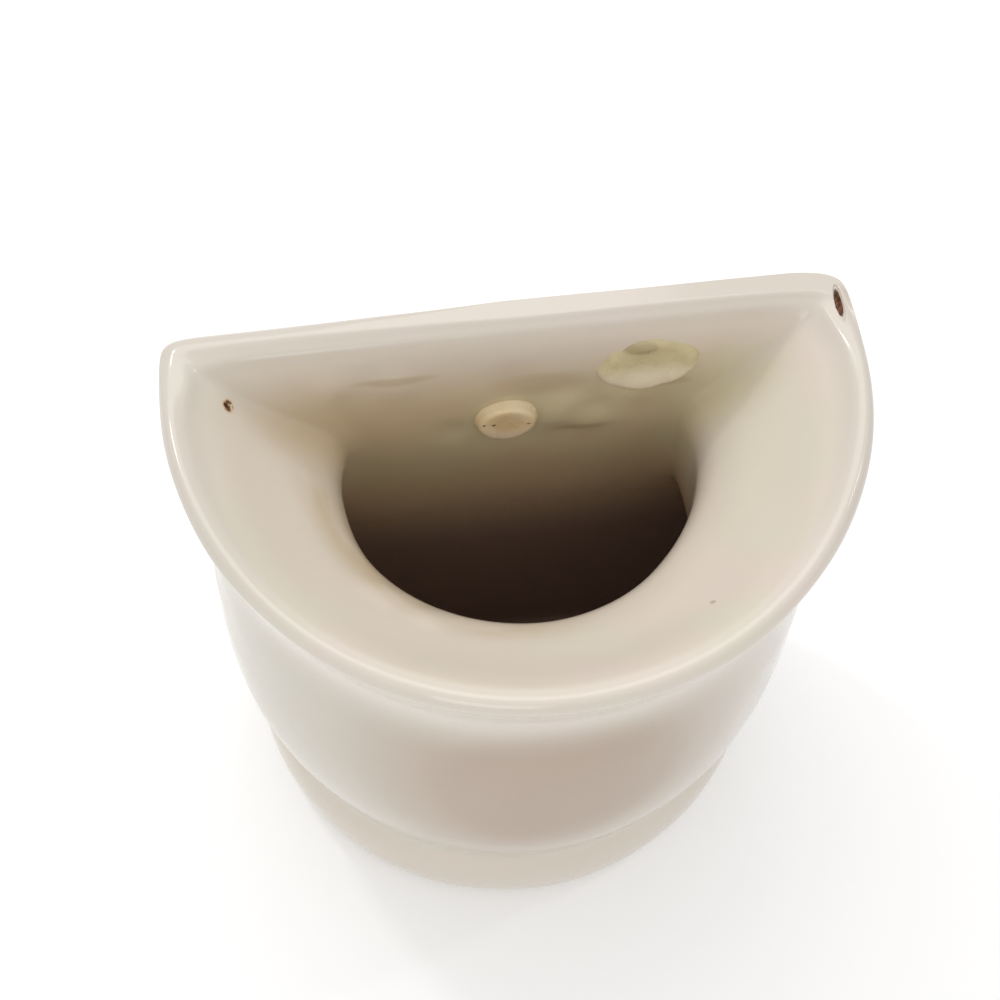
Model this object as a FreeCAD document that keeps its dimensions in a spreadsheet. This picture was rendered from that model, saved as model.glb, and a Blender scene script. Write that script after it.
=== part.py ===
"""Glazed clay wall planter: a flat back with a half-round bowl, a flared funnel lip and a rolled foot.

Every piece is drawn with Z up from the table, Y = 0 on the wall and X = 0 in the middle, and is then
lowered so that the frame's origin is the mouth of the hanging hole. The bowl is a U in plan: a half
circle about an upright axis that stands flank_depth in front of the wall, and two straight flanks.
"""
import FreeCAD, Part
import Sketcher
import math
import os

# ---------------------------------------------------------------- driving sizes, in millimetres
SIZES = {
    "rim_width": 165.0,         # across the lip, corner to corner
    "height": 165.0,            # table to the top of the lip
    "flank_depth": 20.0,        # wall to the axis of the half-round front
    "slab_thickness": 9.0,      # flat back slab
    "wall": 7.0,                # rolled clay wall; the lip's rounded edge is as thick
    "lip_width": 34.5,          # edge of the lip to the throat, seen from above
    "throat_level": 44.0,       # top of the lip to the narrowest part of the throat
    "throat_roll": 20.0,        # radius with which the lip turns down into the throat
    "dish_radius": 60.0,        # hollow of the lip's upper face
    "skirt_length": 32.0,       # straight throat below its narrowest level
    "lip_joint_level": 34.0,    # top of the lip to the joint of lip and bowl
    "belly_inset": 3.5,         # widest belly inside the reach of the lip
    "belly_level": 76.0,        # table to the widest belly
    "shoulder_inset": 2.0,      # lip joint inside the belly
    "waist_inset": 7.5,         # crease above the foot, inside the belly
    "waist_level": 34.0,
    "foot_swell": 3.2,          # rolled foot beyond the crease
    "foot_level": 18.0,         # table to the widest part of the foot
    "floor_thickness": 8.0,
    "base_edge": 3.0,           # height of the bevel where the floor meets the table
    "base_inset": 6.0,          # edge on the table inside the widest part of the foot
    "top_edge": 4.0,            # rounding along the top of the back slab
    "hang_drop": 36.0,          # top of the lip to the hanging hole
    "hole_radius": 4.0,
    "boss_width": 14.5,         # clay pad that closes the hole inside
    "boss_height": 14.0,
    "boss_thickness": 3.0,
    "boss_corner": 5.0,
    "boss_edge": 1.5,
    "patch_width": 25.0,        # thin clay patch right of the pad
    "patch_height": 17.0,
    "patch_thickness": 2.0,
    "patch_corner": 8.0,
    "patch_edge": 1.2,
    "patch_offset": 34.5,
    "patch_drop": 16.0,
}

doc = FreeCAD.newDocument("wall_planter")
sheet = doc.addObject("Spreadsheet::Sheet", "sizes")
for row, (alias, value) in enumerate(SIZES.items(), start=1):
    sheet.set("A%d" % row, alias)
    sheet.set("B%d" % row, str(value))
    sheet.setAlias("B%d" % row, alias)
doc.recompute()


class Size:
    """A length as an expression on the sheet, with its present value for a sketch's first guess."""

    def __init__(self, text, value):
        self.text = text
        self.value = float(value)

    def __add__(self, other):
        return Size("(%s + %s)" % (self.text, other.text), self.value + other.value)

    def __sub__(self, other):
        return Size("(%s - %s)" % (self.text, other.text), self.value - other.value)

    def __truediv__(self, number):
        return Size("(%s / %g)" % (self.text, number), self.value / number)


def size(alias):
    return Size("sizes." + alias, SIZES[alias])


# ---------------------------------------------------------------- places worked out from the sizes
wall = size("wall")
edge_radius = wall / 2
height = size("height")
slab = size("slab_thickness")
flank = size("flank_depth")

rim_radius = size("rim_width") / 2
throat_radius = rim_radius - size("lip_width")
belly_radius = rim_radius - size("belly_inset")
shoulder_radius = belly_radius - size("shoulder_inset")
waist_radius = belly_radius - size("waist_inset")
foot_radius = waist_radius + size("foot_swell")
base_radius = foot_radius - size("base_inset")

belly_level = size("belly_level")
waist_level = size("waist_level")
foot_level = size("foot_level")
floor_top = size("floor_thickness")
base_edge = size("base_edge")
joint_level = height - size("lip_joint_level")
throat_level = height - size("throat_level")
skirt_end = throat_level - size("skirt_length")
hang_level = height - size("hang_drop")

throat_roll = size("throat_roll")
dish_radius = size("dish_radius")


# ---------------------------------------------------------------- plane geometry for first guesses
def spot(x, y):
    """The present values of two sizes, as a point."""
    return (x.value, y.value)


def towards(p, q, distance):
    """The point that lies a distance from p on the way to q."""
    span = math.dist(p, q)
    return (p[0] + (q[0] - p[0]) * distance / span, p[1] + (q[1] - p[1]) * distance / span)


def level_centre(p, widest):
    """Centre, on the level of widest, of the arc that leaves widest upright and passes through p."""
    rise = p[1] - widest[1]
    x = (widest[0] ** 2 - p[0] ** 2 - rise ** 2) / (2 * (widest[0] - p[0]))
    return (x, widest[1])


def touching_point(p, centre, radius):
    """Where a straight line from p, low on the right of a circle, touches the circle's right side."""
    span = math.dist(p, centre)
    angle = math.atan2(p[1] - centre[1], p[0] - centre[0]) + math.acos(radius / span)
    return (centre[0] + radius * math.cos(angle), centre[1] + radius * math.sin(angle))


def meeting_centre(p, from_p, q, from_q):
    """The point at the given distances from p and q that lies left of the way from q up to p."""
    span = math.dist(p, q)
    along = (from_p ** 2 - from_q ** 2 + span ** 2) / (2 * span)
    across = math.sqrt(from_p ** 2 - along ** 2)
    ux, uy = (q[0] - p[0]) / span, (q[1] - p[1]) / span
    return (p[0] + along * ux + across * uy, p[1] + along * uy - across * ux)


# ---------------------------------------------------------------- sketches
XZ, YZ = "XZ_Plane", "YZ_Plane"
START, END, CENTRE = 1, 2, 3


def plane(body, role):
    return next(f for f in body.Origin.OriginFeatures if f.Role == role)


def new_sketch(body, name, role=XZ, offset=None):
    sketch = body.newObject("Sketcher::SketchObject", name)
    sketch.AttachmentSupport = (plane(body, role), [""])
    sketch.MapMode = "FlatFace"
    if offset:
        sketch.setExpression("AttachmentOffset.Base.z", offset.text)
    return sketch


def bind(sketch, kind, *where):
    """Adds a constraint; a Size given last is bound to the sheet."""
    amount = where[-1]
    if isinstance(amount, Size):
        index = sketch.addConstraint(Sketcher.Constraint(kind, *where[:-1], amount.value))
        sketch.setExpression("Constraints[%d]" % index, amount.text)
    else:
        sketch.addConstraint(Sketcher.Constraint(kind, *where))


def pin(sketch, end, x=None, y=None):
    """Places one end of an edge at a distance from the sketch's axes."""
    if x:
        bind(sketch, "DistanceX", -1, 1, *end, x)
    if y:
        bind(sketch, "DistanceY", -1, 1, *end, y)


class Edge:
    """A straight line, or an arc when it has a centre, drawn from p to q."""

    def __init__(self, p, q, centre=None, construction=False):
        self.p, self.q, self.centre, self.construction = p, q, centre, construction
        self.number = None

    def draw(self, sketch):
        start, finish = START, END
        if self.centre is None:
            shape = Part.LineSegment(FreeCAD.Vector(*self.p, 0), FreeCAD.Vector(*self.q, 0))
        else:
            first = math.atan2(self.p[1] - self.centre[1], self.p[0] - self.centre[0])
            last = math.atan2(self.q[1] - self.centre[1], self.q[0] - self.centre[0])
            turn = (last - first + math.pi) % (2 * math.pi) - math.pi
            if turn < 0:
                first, turn = last, -turn
                start, finish = finish, start
            circle = Part.Circle(FreeCAD.Vector(*self.centre, 0), FreeCAD.Vector(0, 0, 1),
                                 math.dist(self.p, self.centre))
            shape = Part.ArcOfCircle(circle, first, first + turn)
        self.number = sketch.addGeometry(shape, self.construction)
        self.start = (self.number, start)
        self.end = (self.number, finish)
        self.middle = (self.number, CENTRE)


def join(sketch, edge, following, smooth=False):
    kind = "Tangent" if smooth else "Coincident"
    bind(sketch, kind, *edge.end, *following.start)


def draw_outline(sketch, edges, smooth=()):
    """Draws edges end to end round a closed outline; smooth lists the joints that are tangent."""
    for edge in edges:
        edge.draw(sketch)
    for place, edge in enumerate(edges):
        join(sketch, edge, edges[(place + 1) % len(edges)], place in smooth)


# ---------------------------------------------------------------- the bowl's outer line
belly_spot = spot(belly_radius, belly_level)
shoulder_spot = spot(shoulder_radius, joint_level)
waist_spot = spot(waist_radius, waist_level)
foot_spot = spot(foot_radius, foot_level)
base_spot = (base_radius.value, 0.0)
belly_centre = level_centre(waist_spot, belly_spot)
foot_centre = level_centre(waist_spot, foot_spot)

edge_centre = spot(rim_radius - edge_radius, height - edge_radius)
edge_top = (edge_centre[0], height.value)
flare_touch = touching_point(shoulder_spot, edge_centre, edge_radius.value)
throat_centre = spot(throat_radius + throat_roll, throat_level)
dish_centre = meeting_centre(edge_centre, dish_radius.value + edge_radius.value,
                             throat_centre, dish_radius.value + throat_roll.value)


def foot_at(level):
    """Where the rolled outside of the foot crosses a level."""
    reach = math.dist(foot_spot, foot_centre)
    return (foot_centre[0] + math.sqrt(reach ** 2 - (level.value - foot_centre[1]) ** 2), level.value)


def pin_foot(sketch, low, high):
    """Holds the two foot arcs: low ends at the widest part, where high begins, up to the crease."""
    pin(sketch, high.start, foot_radius, foot_level)
    pin(sketch, high.end, waist_radius, waist_level)
    pin(sketch, high.middle, y=foot_level)
    bind(sketch, "Coincident", *low.middle, *high.middle)


def pin_base(sketch, under, bevel):
    """Holds the flat underside, which starts at the axis, and the bevel at its edge."""
    bind(sketch, "Coincident", *under.start, -1, 1)
    bind(sketch, "Horizontal", under.number)
    pin(sketch, under.end, x=base_radius)
    pin(sketch, bevel.end, y=base_edge)


def pin_belly(sketch, low, up):
    """Holds the belly: low, an arc, comes up from the crease and up leads on to the lip's joint."""
    pin(sketch, low.middle, y=belly_level)
    pin(sketch, low.start, waist_radius, waist_level)
    pin(sketch, low.end, belly_radius, belly_level)
    pin(sketch, up.end, shoulder_radius, joint_level)


def pin_edge(sketch, edge):
    """Holds the lip's rounded edge."""
    bind(sketch, "Radius", edge.number, edge_radius)
    pin(sketch, edge.middle, rim_radius - edge_radius, height - edge_radius)


# ---------------------------------------------------------------- bodies
bodies = []


def new_body(label):
    body = doc.addObject("PartDesign::Body", label)
    body.Label = label
    body.setExpression("Placement.Base.z", "-" + hang_level.text)
    bodies.append(body)
    return body


def half_round(label, draw):
    """A piece of the bowl: its section turned half round the upright axis, then run back to the slab."""
    body = new_body(label)
    section = new_sketch(body, label + "_section", offset=flank)
    draw(section)
    front = body.newObject("PartDesign::Revolution", label + "_front")
    front.Profile = section
    front.ReferenceAxis = (section, ["V_Axis"])
    front.Angle = 180
    front.Reversed = True
    flank_pad = body.newObject("PartDesign::Pad", label + "_flank")
    flank_pad.Profile = section
    flank_pad.setExpression("Length", (flank - slab).text)
    flank_pad.Reversed = True
    other = body.newObject("PartDesign::Mirrored", label + "_other_flank")
    other.Originals = [flank_pad]
    other.MirrorPlane = (plane(body, YZ), [""])
    body.Tip = other
    return body


def draw_floor(sketch):
    """Floor: a disc with the lowest part of the rolled foot and the bevel as its edge."""
    under = Edge((0, 0), base_spot)
    bevel = Edge(base_spot, foot_at(base_edge))
    low = Edge(bevel.q, foot_at(floor_top), foot_centre)
    over = Edge(low.q, (0, floor_top.value))
    middle = Edge(over.q, (0, 0))
    draw_outline(sketch, [under, bevel, low, over, middle])
    high = Edge(foot_spot, waist_spot, foot_centre, construction=True)
    high.draw(sketch)
    pin_foot(sketch, low, high)
    bind(sketch, "PointOnObject", *high.start, low.number)
    pin_base(sketch, under, bevel)
    bind(sketch, "Vertical", middle.number)
    bind(sketch, "Horizontal", over.number)
    pin(sketch, over.end, y=floor_top)


def draw_foot(sketch):
    """Foot band: the rolled outside over an upright inside."""
    bottom = foot_at(floor_top)
    inner = waist_radius - wall
    low = Edge(bottom, foot_spot, foot_centre)
    high = Edge(foot_spot, waist_spot, foot_centre)
    over = Edge(waist_spot, spot(inner, waist_level))
    inside = Edge(spot(inner, waist_level), spot(inner, floor_top))
    under = Edge(spot(inner, floor_top), bottom)
    draw_outline(sketch, [low, high, over, inside, under])
    pin_foot(sketch, low, high)
    pin(sketch, inside.start, inner, waist_level)
    pin(sketch, inside.end, inner, floor_top)
    pin(sketch, low.start, y=floor_top)


def draw_bowl(sketch):
    """Bowl wall: the belly from the crease up to the lip, over a plain inside."""
    inner_waist = spot(waist_radius - wall, waist_level)
    inner_belly = spot(shoulder_radius - wall, belly_level)
    inner_shoulder = spot(shoulder_radius - wall, joint_level)
    outer_low = Edge(waist_spot, belly_spot, belly_centre)
    outer_up = Edge(belly_spot, shoulder_spot)
    over = Edge(shoulder_spot, inner_shoulder)
    inner_up = Edge(inner_shoulder, inner_belly)
    inner_low = Edge(inner_belly, inner_waist)
    under = Edge(inner_waist, waist_spot)
    draw_outline(sketch, [outer_low, outer_up, over, inner_up, inner_low, under])
    pin_belly(sketch, outer_low, outer_up)
    pin(sketch, inner_up.start, shoulder_radius - wall, joint_level)
    pin(sketch, inner_up.end, shoulder_radius - wall, belly_level)
    pin(sketch, inner_low.end, waist_radius - wall, waist_level)


def draw_lip(sketch):
    """Flared lip: rounded edge, dished funnel and straight throat, on a short stub of the bowl wall."""
    edge_inner = towards(edge_centre, dish_centre, edge_radius.value)
    roll_top = towards(throat_centre, dish_centre, throat_roll.value)
    skirt_outer = throat_radius + wall
    stub = shoulder_radius - wall
    stub_top = joint_level + wall

    flare = Edge(shoulder_spot, flare_touch)
    edge_out = Edge(flare_touch, edge_top, edge_centre)
    edge_in = Edge(edge_top, edge_inner, edge_centre)
    dish = Edge(edge_inner, roll_top, dish_centre)
    roll = Edge(roll_top, spot(throat_radius, throat_level), throat_centre)
    skirt = Edge(roll.q, spot(throat_radius, skirt_end))
    hem = Edge(skirt.q, spot(skirt_outer, skirt_end))
    skirt_back = Edge(hem.q, spot(skirt_outer, throat_level))
    dish_back = Edge(skirt_back.q, spot(stub, stub_top))
    stub_back = Edge(dish_back.q, spot(stub, joint_level))
    under = Edge(stub_back.q, shoulder_spot)
    draw_outline(sketch, [flare, edge_out, edge_in, dish, roll, skirt, hem, skirt_back, dish_back,
                          stub_back, under], smooth=(0, 2, 3))
    pin(sketch, flare.start, shoulder_radius, joint_level)
    pin_edge(sketch, edge_out)
    bind(sketch, "Coincident", *edge_in.middle, *edge_out.middle)
    pin(sketch, edge_in.start, x=rim_radius - edge_radius)
    bind(sketch, "Radius", dish.number, dish_radius)
    pin(sketch, roll.middle, throat_radius + throat_roll, throat_level)
    pin(sketch, roll.end, throat_radius, throat_level)
    pin(sketch, skirt.end, throat_radius, skirt_end)
    pin(sketch, hem.end, skirt_outer, skirt_end)
    pin(sketch, skirt_back.end, skirt_outer, throat_level)
    pin(sketch, dish_back.end, stub, stub_top)
    pin(sketch, stub_back.end, stub, joint_level)


def draw_slab(sketch):
    """Back slab, right half: the whole outer line of foot, bowl and lip, closed down the middle."""
    under = Edge((0, 0), base_spot)
    bevel = Edge(base_spot, foot_at(base_edge))
    foot_low = Edge(bevel.q, foot_spot, foot_centre)
    foot_high = Edge(foot_spot, waist_spot, foot_centre)
    belly_low = Edge(waist_spot, belly_spot, belly_centre)
    belly_up = Edge(belly_spot, shoulder_spot)
    flare = Edge(shoulder_spot, flare_touch)
    corner = Edge(flare_touch, edge_top, edge_centre)
    over = Edge(edge_top, (0, height.value))
    middle = Edge(over.q, (0, 0))
    draw_outline(sketch, [under, bevel, foot_low, foot_high, belly_low, belly_up, flare, corner,
                          over, middle], smooth=(6,))
    pin_base(sketch, under, bevel)
    bind(sketch, "Vertical", middle.number)
    pin(sketch, foot_high.start, foot_radius, foot_level)
    pin(sketch, foot_high.middle, y=foot_level)
    bind(sketch, "Coincident", *foot_low.middle, *foot_high.middle)
    pin_belly(sketch, belly_low, belly_up)
    pin_edge(sketch, corner)
    pin(sketch, over.start, x=rim_radius - edge_radius)
    bind(sketch, "Horizontal", over.number)


def draw_top_corner(sketch, outer, inner):
    """The sliver that rounding takes off one top edge of the slab; outer is that edge's Y."""
    radius = size("top_edge")
    corner = (outer.value, height.value)
    along = (inner.value, height.value)
    down = (outer.value, height.value - radius.value)
    centre = (inner.value, down[1])
    over = Edge(corner, along)
    turn = Edge(along, down, centre)
    side = Edge(down, corner)
    draw_outline(sketch, [over, turn, side])
    pin(sketch, over.start, y=height)
    pin(sketch, over.end, y=height)
    pin(sketch, side.start, y=height - radius)
    pin(sketch, turn.middle, y=height - radius)
    if outer.value:
        pin(sketch, over.start, x=outer)
    else:
        bind(sketch, "PointOnObject", *over.start, -2)
    bind(sketch, "Vertical", side.number)
    pin(sketch, over.end, x=inner)


def back_slab():
    """Flat back: the bowl's outline in clay, with both top edges rounded and the hanging hole."""
    body = new_body("back_slab")
    outline = new_sketch(body, "back_slab_outline")
    draw_slab(outline)
    half = body.newObject("PartDesign::Pad", "back_slab_half")
    half.Profile = outline
    half.setExpression("Length", slab.text)
    whole = body.newObject("PartDesign::Mirrored", "back_slab_whole")
    whole.Originals = [half]
    whole.MirrorPlane = (plane(body, YZ), [""])
    body.Tip = whole

    zero = slab - slab
    edges = {
        "wall_edge": (zero, zero - size("top_edge"), rim_radius + rim_radius),
        "mouth_edge": (zero - slab, size("top_edge") - slab, rim_radius + rim_radius - wall - wall),
    }
    for name, (outer, inner, length) in edges.items():
        corner = new_sketch(body, name + "_section", YZ)
        draw_top_corner(corner, outer, inner)
        cut = body.newObject("PartDesign::Pocket", name)
        cut.Profile = corner
        cut.Midplane = True
        cut.setExpression("Length", length.text)

    ring = new_sketch(body, "hanging_hole_section")
    circle = ring.addGeometry(Part.Circle(FreeCAD.Vector(0, hang_level.value, 0),
                                          FreeCAD.Vector(0, 0, 1), SIZES["hole_radius"]))
    bind(ring, "PointOnObject", circle, CENTRE, -2)
    pin(ring, (circle, CENTRE), y=hang_level)
    bind(ring, "Radius", circle, size("hole_radius"))
    hole = body.newObject("PartDesign::Pocket", "hanging_hole")
    hole.Profile = ring
    hole.Reversed = True
    hole.setExpression("Length", slab.text)


def draw_pad(sketch, middle, level, width, tall, radius):
    """Rounded outline of a pad of clay about a middle and a level."""
    low, high = level - tall / 2, level + tall / 2
    left, right = middle - width / 2, middle + width / 2
    in_left, in_right = left + radius, right - radius
    in_low, in_high = low + radius, high - radius
    bottom = Edge(spot(in_left, low), spot(in_right, low))
    turn_a = Edge(bottom.q, spot(right, in_low), spot(in_right, in_low))
    side_a = Edge(turn_a.q, spot(right, in_high))
    turn_b = Edge(side_a.q, spot(in_right, high), spot(in_right, in_high))
    top = Edge(turn_b.q, spot(in_left, high))
    turn_c = Edge(top.q, spot(left, in_high), spot(in_left, in_high))
    side_b = Edge(turn_c.q, spot(left, in_low))
    turn_d = Edge(side_b.q, bottom.p, spot(in_left, in_low))
    draw_outline(sketch, [bottom, turn_a, side_a, turn_b, top, turn_c, side_b, turn_d])
    pin(sketch, bottom.start, in_left, low)
    pin(sketch, bottom.end, in_right, low)
    pin(sketch, side_a.start, right, in_low)
    pin(sketch, side_a.end, right, in_high)
    pin(sketch, top.start, in_right, high)
    pin(sketch, top.end, in_left, high)
    pin(sketch, side_b.start, left, in_high)
    pin(sketch, side_b.end, left, in_low)
    for turn in (turn_a, turn_b, turn_c, turn_d):
        bind(sketch, "Radius", turn.number, radius)


def clay_pad(label, kind, middle, level):
    """A pad of clay pressed on the inner face of the slab, its front edge rubbed down."""
    body = new_body(label)
    section = new_sketch(body, label + "_section", offset=slab)
    draw_pad(section, middle, level, size(kind + "_width"), size(kind + "_height"), size(kind + "_corner"))
    pad = body.newObject("PartDesign::Pad", label + "_pad")
    pad.Profile = section
    pad.setExpression("Length", size(kind + "_thickness").text)
    doc.recompute()
    front = -(slab + size(kind + "_thickness")).value
    rim = ["Edge%d" % number for number, edge in enumerate(pad.Shape.Edges, start=1)
           if abs(edge.BoundBox.YMin - front) < 0.01 and abs(edge.BoundBox.YMax - front) < 0.01]
    rubbed = body.newObject("PartDesign::Chamfer", label + "_edge")
    rubbed.Base = (pad, rim)
    rubbed.setExpression("Size", size(kind + "_edge").text)


half_round("floor_slab", draw_floor)
half_round("foot_band", draw_foot)
half_round("bowl_wall", draw_bowl)
half_round("flared_lip", draw_lip)
back_slab()
clay_pad("hanging_boss", "boss", slab - slab, hang_level)
clay_pad("wall_patch", "patch", size("patch_offset"), height - size("patch_drop"))

doc.recompute()
for thing in doc.Objects:
    if "Invalid" in thing.State or "Error" in thing.State:
        raise SystemExit("%s did not build" % thing.Label)
for body in bodies:
    if body.Shape.isNull() or not body.Shape.isValid() or len(body.Shape.Solids) != 1:
        raise SystemExit("%s is not one sound solid" % body.Label)

os.makedirs("parts", exist_ok=True)
for body in bodies:
    body.Shape.exportStep("parts/%s.step" % body.Label)
    print("%-14s %9.1f mm3" % (body.Label, body.Shape.Volume))
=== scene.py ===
# %% [markdown]
# # A glazed wall planter, dressed around its CAD frame
#
# The CAD model gives seven plain pieces of clay: back, lip, bowl, foot, floor, the pad that closes the
# hanging hole, and a patch. On the real pot one coat of cream glaze runs over their joints, so here the four
# pieces that carry the glaze become one skin, and the small ones get pieces of their own.

# %% Load the frame
import math
import bmesh
import bpy
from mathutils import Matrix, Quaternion, Vector


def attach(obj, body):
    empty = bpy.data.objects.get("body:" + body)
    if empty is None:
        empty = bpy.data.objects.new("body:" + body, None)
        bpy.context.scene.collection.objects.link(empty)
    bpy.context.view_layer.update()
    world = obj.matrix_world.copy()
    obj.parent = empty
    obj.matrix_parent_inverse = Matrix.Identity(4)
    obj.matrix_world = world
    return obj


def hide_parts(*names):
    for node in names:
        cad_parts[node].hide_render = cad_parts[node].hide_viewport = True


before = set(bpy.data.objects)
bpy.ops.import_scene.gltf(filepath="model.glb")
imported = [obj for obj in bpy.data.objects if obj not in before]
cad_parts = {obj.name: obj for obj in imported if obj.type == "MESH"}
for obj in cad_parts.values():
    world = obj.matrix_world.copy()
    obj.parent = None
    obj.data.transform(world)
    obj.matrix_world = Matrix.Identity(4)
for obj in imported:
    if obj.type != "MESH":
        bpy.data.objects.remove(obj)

for name in ("Cube", "Light", "Camera"):          # what a new Blender file starts with
    if name in bpy.data.objects:
        bpy.data.objects.remove(bpy.data.objects[name])
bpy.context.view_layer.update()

# %% [markdown]
# ## Working in edit mode without a window
#
# By hand one clicks on corners and edges. Lengths below are written in millimetres, as a potter would give
# them.

# %% Picking by place
MM = 0.001
AXIS_Y = -20.0                                     # upright axis of the half-round front
AXIS = Vector((0, AXIS_Y, 0)) * MM


def start_piece(name):
    """Names the primitive that was just added and opens it in edit mode."""
    piece = bpy.context.object
    piece.name = piece.data.name = name
    bpy.ops.object.transform_apply(location=True, rotation=True, scale=True)
    bpy.ops.object.mode_set(mode="EDIT")
    bpy.ops.mesh.select_mode(type="VERT")
    return piece


def pick(test):
    """Selects the corners whose place, in millimetres, passes the test, and returns how many."""
    mesh = bmesh.from_edit_mesh(bpy.context.edit_object.data)
    for part in (*mesh.faces, *mesh.edges, *mesh.verts):
        part.select_set(False)
    found = [v for v in mesh.verts if test(*(v.co / MM))]
    for v in found:
        v.select_set(True)
    mesh.select_flush(True)
    bmesh.update_edit_mesh(bpy.context.edit_object.data)
    return len(found)


def push(x=0, y=0, z=0):
    """Moves what is picked by a step in millimetres."""
    bpy.ops.transform.translate(value=Vector((x, y, z)) * MM)


def draw_out(x=0, y=0, z=0):
    """Extrudes what is picked by a step in millimetres."""
    bpy.ops.mesh.extrude_region_move(TRANSFORM_OT_translate={"value": Vector((x, y, z)) * MM})


def widen(x=1, y=1, z=1, centre=AXIS):
    """Scales what is picked about a centre."""
    bpy.ops.transform.resize(value=(x, y, z), center_override=centre)


def turn_about(x, z, degrees, steps):
    """Spins the picked end of the section about a centre, seen from the front; + is anticlockwise."""
    bpy.ops.mesh.spin(steps=steps, angle=math.radians(degrees), center=(x * MM, AXIS.y, z * MM),
                      axis=(0, 1, 0))


def leave_edit():
    bpy.ops.object.mode_set(mode="OBJECT")


def finish_modifiers(piece):
    """Applies every modifier, top first."""
    bpy.ops.object.select_all(action="DESELECT")
    piece.select_set(True)
    bpy.context.view_layer.objects.active = piece
    for modifier in list(piece.modifiers):
        bpy.ops.object.modifier_apply(modifier=modifier.name)


def count(piece):
    print(f"{piece.name}: {len(piece.data.vertices)} corners, {len(piece.data.polygons)} faces")


# %% [markdown]
# ## The section of the pot
#
# A thrown or moulded round form is drawn once, as its section, and spun. The section starts as a small
# circle, the rounded edge of the lip. One open end is drawn in and down as a straight funnel and then rolls
# into the throat. The other is spun about one centre after another for the flare, the belly and the foot.

# %% Draw the section
EDGE_R, EDGE_Z, EDGE_ROUND = 79.0, 32.5, 3.5       # place and radius of the lip's rounded edge
FUNNEL_IN, FUNNEL_DOWN, FUNNEL_STEPS = 4.85, 6.11, 5
ROLL_X, ROLL_Z, ROLL_ROUND = 68.0, -8.0, 20.0      # centre and radius of the roll into the throat
THROAT_STEP = 9.5                                  # the throat goes straight down by three of these
BASE_LEVEL = -129.0
# arcs of the outside, from the lip down: x and z of the centre, degrees, steps
OUTSIDE = [(136.63, 6.34, 28.6, 5),                # flare under the lip
           (-678.25, -53, -4.165, 6),              # upper belly
           (-42.35, -53, -20.25, 6),               # lower belly
           (33.1, -111, -45.5, 8),                 # rolled foot
           (68.67, -126, -67.1, 2)]                # rounding at the table

bpy.ops.object.select_all(action="DESELECT")
bpy.ops.mesh.primitive_circle_add(vertices=16, radius=EDGE_ROUND * MM, rotation=(math.pi / 2, 0, 0),
                                  location=(EDGE_R * MM, AXIS.y, EDGE_Z * MM))
vessel = start_piece("glazed_pot")
pick(lambda x, y, z: (z < EDGE_Z + 1 and x < 82.1) or x < 76)
bpy.ops.mesh.delete(type="VERT")

pick(lambda x, y, z: x < 77)
for step in range(FUNNEL_STEPS):
    draw_out(x=-FUNNEL_IN, z=-FUNNEL_DOWN)
turn_about(ROLL_X, ROLL_Z, 38.3, 4)
for step in range(3):
    draw_out(z=-THROAT_STEP)
turn_about(51.5, -36.5, 90, 2)                     # rounded lower end of the throat

pick(lambda x, y, z: x > 82 and z < 31.5)
for arc in OUTSIDE:
    turn_about(*arc)
pick(lambda x, y, z: z < BASE_LEVEL + 0.2)
widen(z=0, centre=Vector((0, 0, BASE_LEVEL)) * MM)
rows = sorted({(v.co.x / MM, v.co.z / MM) for v in bmesh.from_edit_mesh(vessel.data).verts})
hem = min((row for row in rows if row[0] < 60), key=lambda row: row[1])
leave_edit()
count(vessel)
print("lower end of the throat at radius %.1f, level %.1f" % hem)

# %% [markdown]
# ## Half a turn, and back to the wall
#
# The front of the pot is half round: the section is spun half a turn. Both ends are then drawn straight
# back, the hollow to the face of the back, 9 mm off the wall, and the outside to the wall. The rows of the
# rounded edge stop between the two, like the mitre of a picture frame, so the edge runs on along the top of
# the back.

# %% Spin the section and draw the flanks
BACK_FACE = -9.0
FLANK_ROW = -14.0                                  # row of corners between the axis and the face of the back
EDGE_FOOT, EDGE_INNER, EDGE_OUTER = 31.1, 75.8, 82.18    # lowest level and both radii of the rounded edge


def share_outside(x, z):
    """0 for a row of the hollow, 1 for a row of the outside, and between them round the lip's edge."""
    if z > EDGE_FOOT:
        return min(max((x - EDGE_INNER) / (EDGE_OUTER - EDGE_INNER), 0), 1)
    return 1 if x > 74 or z < -60 else 0


bpy.ops.object.mode_set(mode="EDIT")
pick(lambda x, y, z: True)
bpy.ops.mesh.spin(steps=32, angle=math.pi, center=AXIS, axis=(0, 0, 1))
pick(lambda x, y, z: y > AXIS_Y - 0.01)
draw_out(y=FLANK_ROW - AXIS_Y)
draw_out(y=BACK_FACE - FLANK_ROW)
for x, z in rows:
    share = share_outside(x, z)
    if share:
        pick(lambda px, py, pz: abs(abs(px) - x) < 0.02 and abs(pz - z) < 0.02 and py > BACK_FACE - 0.1)
        push(y=-BACK_FACE * share)
        pick(lambda px, py, pz: abs(abs(px) - x) < 0.02 and abs(pz - z) < 0.02
             and abs(py - FLANK_ROW) < 0.1)
        push(y=9.5 * share)


def pick_open_ends():
    """Selects the two open ends of the flanks, which run down the section."""
    mesh = bmesh.from_edit_mesh(bpy.context.edit_object.data)
    pick(lambda x, y, z: False)
    for edge in mesh.edges:
        a, b = (v.co / MM for v in edge.verts)
        on_a_rim = abs(a.z - b.z) < 0.01 and min(abs(a.z - hem[1]), abs(a.z - BASE_LEVEL)) < 0.2
        if len(edge.link_faces) == 1 and not on_a_rim:
            edge.select_set(True)
    bmesh.update_edit_mesh(bpy.context.edit_object.data)


pick_open_ends()
draw_out()
widen(x=0.94)
bpy.ops.mesh.bridge_edge_loops(number_cuts=17, interpolation="LINEAR")
leave_edit()
count(vessel)

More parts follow.
